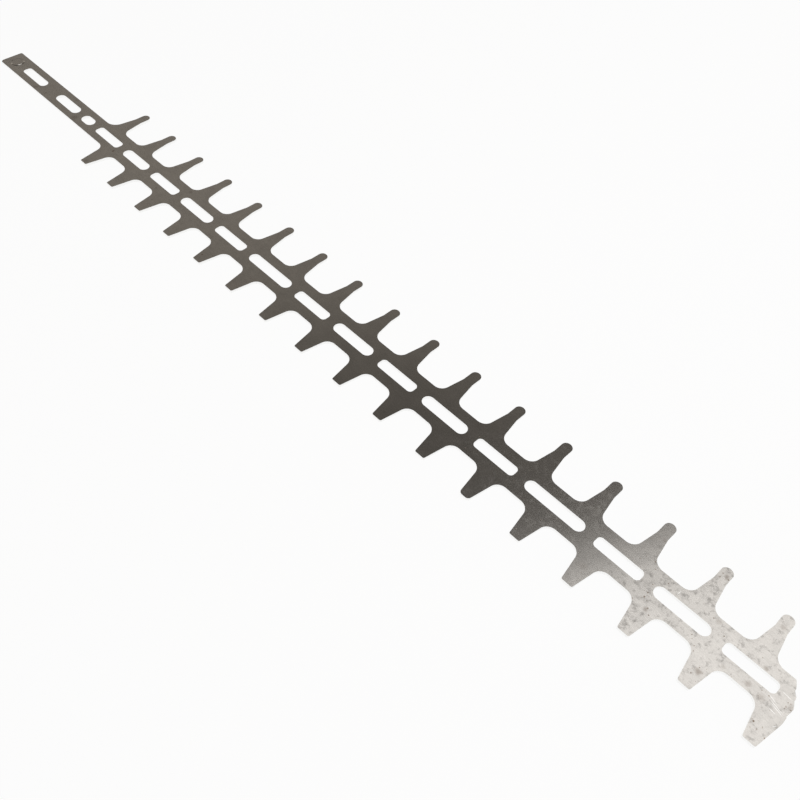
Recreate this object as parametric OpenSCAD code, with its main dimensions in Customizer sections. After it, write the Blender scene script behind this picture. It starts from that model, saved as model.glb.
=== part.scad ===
// Flat steel cutting blade of a double-sided hedge trimmer, lying on its underside.
// X runs along the blade from the drive end to the broken end, +Y is the side
// with the round-tipped teeth, and +Z is up. The origin is on the underside, on
// the axis of the drive pin. All lengths are in millimetres.

/* [Sheet] */
// Thickness of the steel sheet
sheet_t = 2; // [1.5:0.1:3]

/* [Tang] */
// Width of the plain bar at the drive end
tang_w = 19.4; // [17:0.1:22]
// Distance from the drive pin's axis to the end of the tang
tang_end = 10.8; // [9:0.1:16]
// Corner radius of the tang's end on the side with the round-tipped teeth
tang_corner_r = 1.5; // [0.5:0.5:5]
// Corner radius of the tang's end on the side with the square-tipped teeth
tang_worn_corner_r = 3; // [0.5:0.5:5]

/* [Drive pin] */
// Diameter of the pin's shank in the tang
pin_d = 8; // [6:0.5:10]
// Diameter of the countersink that the pin's head is riveted into
pin_seat_d = 11; // [10.5:0.5:13]
// Depth of that countersink
pin_seat_depth = 0.6; // [0.4:0.1:1]
// Open ring left between the riveted head and the countersink's mouth
pin_head_gap = 0.5; // [0.2:0.1:0.5]
// Height of the head's crown above the blade
pin_crown = 0.3; // [0.1:0.1:0.6]

/* [Teeth] */
// Spacing of the teeth along each side
tooth_pitch = 35; // [32:1:40]
// Number of teeth on each side
tooth_count = 17; // [3:1:17]
// Distance from the drive pin's axis to the first round-tipped tooth
first_tooth = 134.3; // [130:0.1:150]
// Angle of the cutting flanks from square across the blade
flank_angle = 9.7; // [4:0.1:12]
// Radius at the roots of the teeth
root_r = 6.2; // [3:0.1:7]
// Radius where the tang runs out into the first round-tipped tooth
shoulder_r = 8.5; // [6:0.1:10]
// Reach of the round-tipped teeth from the middle of the slots
round_reach = 38.8; // [34:0.1:45]
// Width of the parallel end of the round-tipped teeth
round_tip_w = 6.8; // [5:0.1:8]
// Length of that parallel end, with its round tip
round_tip_len = 10.2; // [6:0.1:12]
// Reach of the square-tipped teeth from the middle of the slots
square_reach = 31.2; // [28:0.1:40]
// Width of the square tips
square_tip_w = 6.8; // [5:0.1:8]
// Radius of the square tips' corners
square_tip_r = 1; // [0.3:0.1:2]
// How much further the one longer square-tipped tooth reaches
long_tooth_extra = 1.2; // [0:0.1:2]
// Radius of that longer tooth's corners, which are worn rounder
long_tooth_tip_r = 2.5; // [0.5:0.1:2.5]

/* [Spine] */
// Width of the bar that joins the teeth
spine_w = 22.6; // [20:0.2:26]

/* [Slots] */
// Width of the round-ended slots for the guide screws
guide_w = 8; // [6:0.1:9]
// Width of the square-ended slots
light_w = 7.5; // [5:0.1:9]
// Length of the square-ended slots
light_len = 29.4; // [24:0.1:30]
// Corner radius of the square-ended slots
light_corner_r = 2.6; // [1:0.1:3]
// Bridge of metal between neighbouring slots
slot_web = 7.8; // [5:0.1:9]
// Distance from the drive pin's axis to the first slot
tang_slot_x = 14.5; // [12:0.1:20]
// Length of the first slot
tang_slot_len = 30.6; // [24:0.1:31]
// Bridge of metal between the first two slots
tang_web = 19.8; // [12:0.1:20]
// Length of the round-ended slot in the tang
tang_guide_len = 29.6; // [20:0.1:30]
// Length of the short oblong hole
oblong_len = 13.2; // [10:0.1:14]

/* [Hidden] */
$fn = 64;

// Lengths of the round-ended slots along the toothed part, from the tang on
guide_lens = [28.4, 33, 40, 33, 34, 40, 32.8];
// Which of the square-tipped teeth is the longer one, counted from 0
long_tooth = 11;
// Metal kept between the last slot and the broken end
end_margin = 7;
// How far shapes run into each other where they join
bite = 1;
// How far a round stands past the slanted edge it runs out on, so that they cross
run_out = 0.002;

spine_hw = spine_w / 2;
tang_hw = tang_w / 2;
round_tip_r = round_tip_w / 2;
square_tip_hw = square_tip_w / 2;
lean = tan(flank_angle);
neck_y = round_reach - round_tip_len;

// Places of the teeth, with the two sides staggered by half a pitch
round_teeth = [for (i = [0 : tooth_count - 1]) first_tooth + i * tooth_pitch];
square_teeth = [for (x = round_teeth) x + tooth_pitch / 2];
last_tooth = square_teeth[tooth_count - 1];

// Broken end, measured from the middle of the last square-tipped tooth and
// from the middle of the slots, and where the bar is drawn to before it is cut there
break_line = [
    [-4.0, 14.2], [0.7, 10.9], [1.7, 9.1], [2.6, 7.2], [2.7, 5.9], [3.9, 4.3],
    [4.6, 3.7], [5.0, 2.3], [5.0, 1.1], [6.3, -1.6], [6.7, -2.6], [6.6, -4.7],
    [6.1, -8.1], [6.5, -9.1], [6.5, -13.3]
];
blank_end = last_tooth + tooth_pitch / 2;
spine_end = last_tooth + max([for (p = break_line) p[0]]);

// Slots along the toothed part: square-ended ones between round-ended ones
row_count = 2 * len(guide_lens) + 1;
tang_guide_x = tang_slot_x + tang_slot_len + tang_web;
oblong_x = tang_guide_x + tang_guide_len + slot_web;
row_x = oblong_x + oblong_len + slot_web;
function is_guide(i) = i % 2 == 1;
function row_len(i) = is_guide(i) ? guide_lens[(i - 1) / 2] : light_len;
function row_start(i) = i == 0 ? row_x : row_start(i - 1) + row_len(i - 1) + slot_web;
function fits(i) = row_start(i) + row_len(i) < spine_end - end_margin;

// Length of a root's round along each of its two sides
function root_side(r) = r * tan((90 - flank_angle) / 2);

// Round between an edge at y = 0 and a flank that leaves it at x = 0
module root(r) {
    side = root_side(r);
    up = [side * sin(flank_angle), side * cos(flank_angle)];
    difference() {
        polygon([[-side, 0], [-side, -bite], [bite, -bite], [up[0] + bite, up[1]], up]);
        translate([-side, r]) circle(r + run_out);
    }
}

// Tooth standing up from y = 0, with a parallel end and a round tip
module round_tooth() {
    root_hw = round_tip_r + neck_y * lean;
    tip_y = round_reach - round_tip_r;
    polygon([
        [-root_hw, 0], [root_hw, 0], [round_tip_r, neck_y],
        [round_tip_r, tip_y], [-round_tip_r, tip_y], [-round_tip_r, neck_y]
    ]);
    translate([0, tip_y]) circle(round_tip_r);
}

// Half-width of a round-tipped tooth at a height above the slots' middle
function round_tooth_hw(y) = round_tip_r + (neck_y - y) * lean;

// Tooth standing up from y = 0, with straight flanks and a square tip
module square_tooth(extra, tip_r) {
    reach = square_reach + extra;
    tip_hw = square_tip_hw - extra * lean;
    root_hw = tip_hw + reach * lean;
    side = root_side(tip_r);
    low = [tip_hw + side * sin(flank_angle), reach - side * cos(flank_angle)];
    high_x = tip_hw - side;
    polygon([
        [-root_hw, 0], [root_hw, 0], low, [high_x, reach], [-high_x, reach], [-low[0], low[1]]
    ]);
    for (x = [-high_x, high_x])
        translate([x, reach - tip_r]) circle(tip_r + run_out);
}

// Half-width of a square-tipped tooth at a height above the slots' middle
function square_tooth_hw(y) = square_tip_hw + (square_reach - y) * lean;

// Both roots of a tooth that stands in the middle of an edge at edge_y
module root_pair(tooth_hw, edge_y) {
    for (side = [0, 1])
        mirror([side, 0]) translate([-tooth_hw, edge_y]) root(root_r);
}

// Half of the blade with the round-tipped teeth
module round_side() {
    hw = round_tooth_hw(spine_hw);
    translate([first_tooth, 0]) square([blank_end - first_tooth, spine_hw]);
    for (x = round_teeth)
        translate([x, 0]) round_tooth();
    for (i = [1 : tooth_count - 1])
        translate([round_teeth[i], 0]) root_pair(hw, spine_hw);
    translate([first_tooth + hw, spine_hw]) mirror([1, 0]) root(root_r);
    translate([first_tooth - round_tooth_hw(tang_hw), tang_hw]) root(shoulder_r);
}

// Half of the blade with the square-tipped teeth, standing up like the other;
// the last of them has lost its outer root to the break
module square_side() {
    hw = square_tooth_hw(spine_hw);
    first = square_teeth[0];
    translate([first, 0]) square([blank_end - first, spine_hw]);
    for (i = [0 : tooth_count - 1])
        translate([square_teeth[i], 0])
            if (i == long_tooth) square_tooth(long_tooth_extra, long_tooth_tip_r);
            else square_tooth(0, square_tip_r);
    for (i = [1 : tooth_count - 2])
        translate([square_teeth[i], 0]) root_pair(hw, spine_hw);
    translate([last_tooth - hw, spine_hw]) root(root_r);
    translate([first + hw, spine_hw]) mirror([1, 0]) root(root_r);
    translate([first - square_tooth_hw(tang_hw), tang_hw]) root(root_r);
}

// Plain bar at the drive end, with one corner worn rounder than the other
module tang() {
    far_r = max(tang_corner_r, tang_worn_corner_r);
    translate([far_r - tang_end, -tang_hw]) square([square_teeth[0] + tang_end - far_r, tang_w]);
    translate([-tang_end, tang_worn_corner_r - tang_hw])
        square([far_r + bite, tang_w - tang_corner_r - tang_worn_corner_r]);
    translate([tang_corner_r - tang_end, 0]) square([far_r - tang_corner_r + bite, tang_hw]);
    translate([tang_corner_r - tang_end, tang_hw - tang_corner_r]) circle(tang_corner_r);
    translate([tang_worn_corner_r - tang_end, -tang_hw]) square([far_r + bite, tang_hw]);
    translate([tang_worn_corner_r - tang_end, tang_worn_corner_r - tang_hw])
        circle(tang_worn_corner_r);
}

// What is gone beyond the broken end
module lost_end() {
    last_point = break_line[len(break_line) - 1];
    far_x = blank_end - last_tooth + bite;
    translate([last_tooth, 0])
        polygon(concat(break_line, [[far_x, last_point[1]], [far_x, break_line[0][1]]]));
}

// Slot from x = 0 with full-round ends
module guide_slot(length, width) {
    r = width / 2;
    translate([r, -r]) square([length - width, width]);
    for (x = [r, length - r])
        translate([x, 0]) circle(r);
}

// Slot from x = 0 with rounded corners
module light_slot(length) {
    r = light_corner_r;
    hw = light_w / 2;
    translate([r, -hw]) square([length - 2 * r, light_w]);
    translate([0, r - hw]) square([length, light_w - 2 * r]);
    for (x = [r, length - r], y = [r - hw, hw - r])
        translate([x, y]) circle(r);
}

// All slots: three in the tang, the first of them round at its near end only,
// and the row along the toothed part
module slots() {
    translate([tang_slot_x, 0]) {
        light_slot(tang_slot_len - light_w);
        translate([tang_slot_len / 2, 0]) guide_slot(tang_slot_len / 2, light_w);
    }
    translate([tang_guide_x, 0]) guide_slot(tang_guide_len, guide_w);
    translate([oblong_x, 0]) guide_slot(oblong_len, guide_w);
    for (i = [0 : row_count - 1])
        if (fits(i))
            translate([row_start(i), 0])
                if (is_guide(i)) guide_slot(row_len(i), guide_w); else light_slot(row_len(i));
}

// The steel sheet with its teeth, slots and the hole for the drive pin
module cutting_blade() {
    seat_z = sheet_t - pin_seat_depth;
    color([0.42, 0.4, 0.37])
        difference() {
            linear_extrude(sheet_t)
                difference() {
                    union() {
                        tang();
                        round_side();
                        mirror([0, 1]) square_side();
                    }
                    lost_end();
                    slots();
                }
            translate([0, 0, -bite]) cylinder(h = sheet_t + 2 * bite, d = pin_d);
            translate([0, 0, seat_z])
                cylinder(h = pin_seat_depth, d1 = pin_d, d2 = pin_seat_d);
            translate([0, 0, sheet_t]) cylinder(h = bite, d = pin_seat_d);
        }
}

// Pin riveted into the tang, flush below and with a low crowned head above
module drive_pin() {
    r = pin_d / 2;
    head_r = pin_seat_d / 2 - pin_head_gap;
    seat_z = sheet_t - pin_seat_depth;
    color([0.5, 0.49, 0.46])
        rotate_extrude()
            polygon([
                [0, 0], [r, 0], [r, seat_z], [head_r, sheet_t],
                [head_r - pin_crown, sheet_t + pin_crown], [0, sheet_t + pin_crown]
            ]);
}

cutting_blade();
drive_pin();
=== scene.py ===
"""Ground steel cutting blade lying on a white studio floor, seen as in the photograph.

Names that end in _MM hold lengths in millimetres in the blade's own frame: X runs from the drive
pin to the broken end, +Y is the side with the round-tipped teeth, and Z is up. The marks on the
steel are placed and sized in the same millimetres. Everything else is in metres.
"""

import math

import bpy
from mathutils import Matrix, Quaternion, Vector

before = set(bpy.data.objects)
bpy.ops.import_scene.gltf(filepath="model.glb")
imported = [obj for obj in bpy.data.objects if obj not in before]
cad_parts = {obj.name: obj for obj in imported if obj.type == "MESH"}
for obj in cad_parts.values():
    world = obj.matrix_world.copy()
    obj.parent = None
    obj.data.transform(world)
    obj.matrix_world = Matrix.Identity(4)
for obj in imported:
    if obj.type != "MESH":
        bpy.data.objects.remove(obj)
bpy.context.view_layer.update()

MM = 0.001

# Camera
CAMERA_AT_MM = (666.4, -249.2, 391.6)
CAMERA_AIM_MM = (451.4, -29.6, 2.0)
CAMERA_ROLL = math.radians(3.41)
CAMERA_LENS = 38.01
CAMERA_SENSOR = 36.0
CAMERA_SHIFT_X = 0.05

# Floor and backdrop
WHITE = 1.0
FLOOR_SIZE = 12.0
FLOOR_COLOUR = (0.9, 0.9, 0.9)
FLOOR_OWN_WHITE = 0.94

# Light of the room by height, as pairs of the sine of the elevation and a level
ROOM_LEVELS = ((0.0, 0.9), (0.25, 0.8), (0.4, 0.25), (0.6, 0.33), (0.7, 0.26), (0.77, 0.1), (1.0, 0.07))
ROOM_TINT = (1.08, 1.0, 0.9)

# Softbox: where its near left edge runs decides how far the bright reflection reaches
SOFTBOX_CENTRE = (0.99, 0.5, 1.0)
SOFTBOX_SIZE = (1.0, 2.0)
SOFTBOX_TURN = math.radians(-24.0)
SOFTBOX_RADIANCE = 1.5

# Steel
STEEL_COLOUR = (0.47, 0.45, 0.425)
# Near-white of the bright scratches and of every side wall; on the walls it is partly bare cut metal and
# partly a painted highlight
CUT_AND_HIGHLIGHT_COLOUR = (0.93, 0.93, 0.92)
RUST_COLOUR = (0.2, 0.13, 0.08)
ROUGHNESS = 0.21
TARNISH_ROUGHNESS = 0.12
PIT_ROUGHNESS = 0.3
GRAIN_ANGLE = math.radians(-9.0)
GRAIN_LENGTH = 7.0
GRAIN_WIDTH = 0.7
WORN_FROM = 470.0
WORN_TO = 660.0

# Soft dark stains, as x, y, radius and strength
STAINS = (
    (41.7, -7.4, 3.0, 0.5), (54.6, -6.0, 2.5, 0.4), (48.9, 3.3, 2.5, 0.3), (98.5, -6.3, 4.5, 0.6),
    (79.0, 8.0, 3.0, 0.4), (152.0, -29.0, 3.0, 0.5), (231.5, 8.5, 2.0, 0.5), (606.7, -17.1, 4.0, 0.3),
    (626.7, 27.1, 2.0, 0.4), (660.6, 33.2, 2.0, 0.7), (642.4, -12.9, 2.0, 0.6), (678.1, -20.7, 2.6, 0.8),
    (699.6, 5.4, 1.8, 0.6), (697.4, -7.9, 2.4, 0.5), (705.0, -9.0, 3.0, 0.4), (716.7, -2.9, 2.0, 0.4),
    (671.0, 8.9, 2.5, 0.3), (694.5, 30.5, 2.5, 0.4), (684.9, -9.6, 2.0, 0.3),
)

# Areas strewn with pits, as x, y, radius and strength
PITTED = (
    (637.5, -8.0, 5.0, 1.0), (644.0, -12.5, 5.0, 1.0), (678.0, -21.5, 4.5, 1.0), (681.5, -17.5, 2.5, 0.8),
    (710.5, -22.0, 5.5, 0.8), (705.0, -8.0, 4.5, 0.7), (660.0, 32.0, 4.0, 0.7), (715.0, -3.0, 4.0, 0.7),
)

# Single pits, as x, y, radius and strength
PITS = (
    (708.5, -21.4, 0.6, 1.0), (716.0, -24.6, 0.5, 0.8), (676.9, 4.3, 0.4, 1.0), (638.0, -4.6, 0.5, 0.9),
    (638.1, -7.7, 0.6, 0.9), (637.1, 1.1, 0.4, 0.8), (633.1, 9.3, 0.4, 0.8), (290.0, -24.6, 0.7, 1.0),
    (154.5, -7.0, 1.2, 0.9), (211.5, -7.7, 0.6, 0.7), (269.4, 0.6, 0.6, 0.5), (220.5, -17.5, 0.6, 0.5),
)

# Light scratches, as the x and y of both ends
SCRATCHES = (
    (709.5, 1.3, 717.0, 0.5), (706.5, -6.0, 717.8, -9.0), (708.0, -7.4, 717.5, -9.8),
    (706.0, -4.6, 713.0, -6.6), (709.5, -10.6, 714.5, -11.2), (715.6, -17.4, 717.3, -15.4),
    (648.9, 9.6, 648.7, 4.9),
)
SCRATCH_WIDTH = 0.16


def new_material(name):
    """A new node material with its tree, emptied of all nodes."""
    material = bpy.data.materials.new(name)
    material.use_nodes = True
    tree = material.node_tree
    tree.nodes.clear()
    return material, tree


def add_node(tree, kind, inputs=(), **settings):
    """A node with its settings and inputs, which are given by name or by number."""
    node = tree.nodes.new(kind)
    for key, value in settings.items():
        setattr(node, key, value)
    for key, value in dict(inputs).items():
        socket = node.inputs[key]
        if isinstance(value, bpy.types.NodeSocket):
            tree.links.new(value, socket)
        elif socket.type == "RGBA":
            socket.default_value = (*value, 1.0)
        else:
            socket.default_value = value
    return node


def calc(tree, operation, *values):
    return add_node(tree, "ShaderNodeMath", enumerate(values), operation=operation).outputs[0]


def ramped(tree, value, low, high, to_low=0.0, to_high=1.0):
    """A smooth step from to_low at low to to_high at high."""
    inputs = enumerate((value, low, high, to_low, to_high))
    return add_node(tree, "ShaderNodeMapRange", inputs, interpolation_type="SMOOTHSTEP").outputs[0]


def mixed(tree, factor, a, b, blend="MIX"):
    inputs = {"Factor": factor, 6: a, 7: b}
    return add_node(tree, "ShaderNodeMix", inputs, data_type="RGBA", blend_type=blend).outputs[2]


def mapped(tree, vector, rotation=0.0, scale=(1.0, 1.0, 1.0), location=(0.0, 0.0, 0.0), kind="POINT"):
    inputs = {"Vector": vector, "Rotation": (0.0, 0.0, rotation), "Scale": scale}
    if kind == "POINT":
        inputs["Location"] = location
    return add_node(tree, "ShaderNodeMapping", inputs, vector_type=kind).outputs[0]


def noise(tree, place, size, detail=3.0, roughness=0.55, output="Fac"):
    """Noise from 0 to 1 whose blotches are about as wide as size."""
    inputs = {"Vector": place, "Scale": 1.0 / size, "Detail": detail, "Roughness": roughness}
    return add_node(tree, "ShaderNodeTexNoise", inputs).outputs[output]


def warped(tree, place, size, reach):
    """The place pushed about by up to half of reach, so that round marks get ragged outlines."""
    push = noise(tree, place, size, output="Color")
    push = add_node(tree, "ShaderNodeVectorMath", {0: push, 1: (0.5, 0.5, 0.5)}, operation="SUBTRACT")
    push = add_node(
        tree, "ShaderNodeVectorMath", {0: push.outputs[0], "Scale": reach}, operation="SCALE"
    )
    return add_node(tree, "ShaderNodeVectorMath", {0: place, 1: push.outputs[0]}).outputs[0]


def marks(tree, place, table, core):
    """How strongly the marks of a table cover a place; core is the full-strength part of a radius."""
    total = 0.0
    for x, y, radius, strength in table:
        centre = (x, y, TOP_Z)
        away = add_node(
            tree, "ShaderNodeVectorMath", {0: place, 1: centre}, operation="DISTANCE"
        ).outputs["Value"]
        one = ramped(tree, away, core * radius, radius, strength, 0.0)
        total = calc(tree, "MAXIMUM", one, total)
    return total


def scratches(tree, place):
    """Thin light lines, each a sphere drawn out along its line."""
    total = 0.0
    for x0, y0, x1, y1 in SCRATCHES:
        angle = math.atan2(y1 - y0, x1 - x0)
        half = math.hypot(x1 - x0, y1 - y0) / 2
        away = add_node(
            tree, "ShaderNodeVectorMath",
            {0: place, 1: ((x0 + x1) / 2, (y0 + y1) / 2, TOP_Z)}, operation="SUBTRACT"
        ).outputs[0]
        turned = mapped(tree, away, rotation=-angle)
        shrunk = mapped(tree, turned, scale=(1 / half, 1 / SCRATCH_WIDTH, 1.0))
        length = add_node(
            tree, "ShaderNodeVectorMath", {0: shrunk}, operation="LENGTH"
        ).outputs["Value"]
        total = calc(tree, "MAXIMUM", ramped(tree, length, 0.4, 1.0, 1.0, 0.0), total)
    return total


def pits(tree, place, share):
    """Small round pits; share is how large a part of them shows."""
    cells = add_node(
        tree, "ShaderNodeTexVoronoi", {"Vector": place, "Scale": 1 / 1.3, "Randomness": 1.0}
    )
    pick = add_node(tree, "ShaderNodeSeparateColor", {"Color": cells.outputs["Color"]})
    size = calc(tree, "MULTIPLY", pick.outputs[1], 0.38)
    here = ramped(tree, cells.outputs["Distance"], 0.05, calc(tree, "ADD", size, 0.12), 1.0, 0.0)
    return calc(tree, "MULTIPLY", here, calc(tree, "LESS_THAN", pick.outputs[0], share))


def steel():
    """Ground steel: grain along the blade, dull stains, pits, scratches, and side walls painted
    near-white, partly as bare cut metal and partly as a painted highlight.
    """
    material, tree = new_material("ground_steel")
    geometry = add_node(tree, "ShaderNodeNewGeometry")
    up = add_node(tree, "ShaderNodeSeparateXYZ", {0: geometry.outputs["True Normal"]}).outputs[2]
    # Faces turned sideways, found by their normal alone, get near-white colour below: partly bare cut
    # metal, partly a painted highlight
    cut_wall_and_highlight = calc(tree, "LESS_THAN", calc(tree, "ABSOLUTE", up), 0.5)

    coordinates = add_node(tree, "ShaderNodeTexCoord").outputs["Object"]
    place = mapped(tree, coordinates, scale=(1 / MM, 1 / MM, 1 / MM))
    along = add_node(tree, "ShaderNodeSeparateXYZ", {0: place}).outputs[0]
    worn = ramped(tree, along, WORN_FROM, WORN_TO, 0.3, 1.0)

    turned = mapped(tree, place, rotation=-GRAIN_ANGLE)
    drawn = mapped(tree, turned, scale=(1 / GRAIN_LENGTH, 1 / GRAIN_WIDTH, 1.0))
    grain = noise(tree, drawn, 1.0, detail=2.0)
    speckle = noise(tree, place, 0.9, detail=2.0)
    ragged = warped(tree, place, 2.5, 2.0)
    clouds = noise(tree, ragged, 9.0, detail=4.0, roughness=0.6)
    blotches = noise(tree, ragged, 3.0, detail=4.0, roughness=0.65)

    tarnish = calc(tree, "MULTIPLY", ramped(tree, blotches, 0.48, 0.72), worn)
    stain = marks(tree, ragged, STAINS, 0.15)
    strewn = marks(tree, ragged, PITTED, 0.4)
    share = calc(tree, "MULTIPLY_ADD", strewn, 0.5, calc(tree, "MULTIPLY", worn, 0.03))
    pitted = calc(tree, "MAXIMUM", pits(tree, place, share), marks(tree, place, PITS, 0.5))
    dull = calc(tree, "MAXIMUM", tarnish, stain)

    shade = calc(tree, "MULTIPLY_ADD", grain, 0.2, 0.9)
    shade = calc(tree, "MULTIPLY", shade, calc(tree, "MULTIPLY_ADD", speckle, 0.24, 0.88))
    shade = calc(tree, "MULTIPLY", shade, calc(tree, "MULTIPLY_ADD", clouds, 0.3, 0.85))
    shade = calc(tree, "MULTIPLY", shade, calc(tree, "MULTIPLY_ADD", dull, -0.3, 1.0))
    colour = mixed(tree, 1.0, STEEL_COLOUR, shade, blend="MULTIPLY")
    colour = mixed(tree, calc(tree, "MULTIPLY", stain, 0.35), colour, RUST_COLOUR)
    colour = mixed(tree, calc(tree, "MULTIPLY", pitted, 0.75), colour, RUST_COLOUR)
    colour = mixed(tree, calc(tree, "MULTIPLY", scratches(tree, place), 0.6), colour, CUT_AND_HIGHLIGHT_COLOUR)
    # Every side wall painted near-white: partly bare cut metal, partly a painted highlight
    colour = mixed(tree, cut_wall_and_highlight, colour, CUT_AND_HIGHLIGHT_COLOUR)

    roughness = calc(tree, "MULTIPLY_ADD", dull, TARNISH_ROUGHNESS, ROUGHNESS)
    roughness = calc(tree, "MULTIPLY_ADD", pitted, PIT_ROUGHNESS, roughness)
    shader = add_node(
        tree, "ShaderNodeBsdfPrincipled",
        {"Base Color": colour, "Metallic": 1.0, "Roughness": roughness}
    )
    add_node(tree, "ShaderNodeOutputMaterial", {"Surface": shader.outputs[0]})
    return material


def shown_white(tree, camera_share):
    """How much a surface shows plain white: in part to the camera, fully in mirrors and glass."""
    rays = add_node(tree, "ShaderNodeLightPath").outputs
    seen = calc(tree, "MULTIPLY", rays["Is Camera Ray"], camera_share)
    mirrored = calc(tree, "MAXIMUM", rays["Is Glossy Ray"], rays["Is Transmission Ray"])
    return calc(tree, "MAXIMUM", seen, mirrored)


def floor_material():
    """White paper: mostly its own even white, with a little of its shading for the shadow."""
    material, tree = new_material("white_floor")
    paper = add_node(tree, "ShaderNodeBsdfDiffuse", {"Color": FLOOR_COLOUR})
    glow = add_node(tree, "ShaderNodeEmission", {"Strength": WHITE})
    share = shown_white(tree, FLOOR_OWN_WHITE)
    mix = add_node(tree, "ShaderNodeMixShader", {0: share, 1: paper.outputs[0], 2: glow.outputs[0]})
    add_node(tree, "ShaderNodeOutputMaterial", {"Surface": mix.outputs[0]})
    return material


def make_floor():
    half = FLOOR_SIZE / 2
    mesh = bpy.data.meshes.new("floor")
    corners = [(-half, -half, 0), (half, -half, 0), (half, half, 0), (-half, half, 0)]
    mesh.from_pydata(corners, [], [(0, 1, 2, 3)])
    mesh.materials.append(floor_material())
    floor = bpy.data.objects.new("floor", mesh)
    bpy.context.scene.collection.objects.link(floor)


def make_world():
    """A pale room that is bright low down and dark overhead, and plain white to the camera."""
    world = bpy.data.worlds.new("studio")
    bpy.context.scene.world = world
    world.use_nodes = True
    tree = world.node_tree
    tree.nodes.clear()
    direction = add_node(tree, "ShaderNodeTexCoord").outputs["Generated"]
    height = add_node(tree, "ShaderNodeSeparateXYZ", {0: direction}).outputs[2]
    ramp = add_node(tree, "ShaderNodeValToRGB", {0: height})
    elements = ramp.color_ramp.elements
    while len(elements) < len(ROOM_LEVELS):
        elements.new(0.5)
    for element, (at, level) in zip(elements, ROOM_LEVELS):
        element.position = at
        element.color = (*(level * part for part in ROOM_TINT), 1.0)
    room = add_node(tree, "ShaderNodeBackground", {"Color": ramp.outputs[0]})
    white = add_node(tree, "ShaderNodeBackground", {"Strength": WHITE})
    seen = add_node(tree, "ShaderNodeLightPath").outputs["Is Camera Ray"]
    mix = add_node(tree, "ShaderNodeMixShader", {0: seen, 1: room.outputs[0], 2: white.outputs[0]})
    add_node(tree, "ShaderNodeOutputWorld", {"Surface": mix.outputs[0]})


def make_softbox():
    """A large level lamp overhead, whose mirror image lies on the blade's broken end."""
    data = bpy.data.lights.new("softbox", "AREA")
    data.shape = "RECTANGLE"
    data.size, data.size_y = SOFTBOX_SIZE
    data.energy = SOFTBOX_RADIANCE * math.pi * data.size * data.size_y
    lamp = bpy.data.objects.new("softbox", data)
    lamp.location = SOFTBOX_CENTRE
    lamp.rotation_euler = (0.0, 0.0, SOFTBOX_TURN)
    lamp.visible_camera = False
    bpy.context.scene.collection.objects.link(lamp)


def make_camera():
    data = bpy.data.cameras.new("camera")
    data.lens = CAMERA_LENS
    data.sensor_width = CAMERA_SENSOR
    data.shift_x = CAMERA_SHIFT_X
    camera = bpy.data.objects.new("camera", data)
    start = Vector(CAMERA_AT_MM) * MM
    look = Vector(CAMERA_AIM_MM) * MM - start
    camera.location = start
    camera.rotation_mode = "QUATERNION"
    camera.rotation_quaternion = look.to_track_quat("-Z", "Y") @ Quaternion((0, 0, 1), CAMERA_ROLL)
    bpy.context.scene.collection.objects.link(camera)
    bpy.context.scene.camera = camera


def dress(name, material):
    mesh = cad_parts[name].data
    mesh.materials.clear()
    mesh.materials.append(material)


TOP_Z = max(corner[2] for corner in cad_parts["cutting_blade"].bound_box) / MM

make_camera()
make_floor()
make_world()
make_softbox()
look = steel()
dress("cutting_blade", look)
dress("drive_pin", look)

bpy.context.scene.view_settings.view_transform = "Standard"
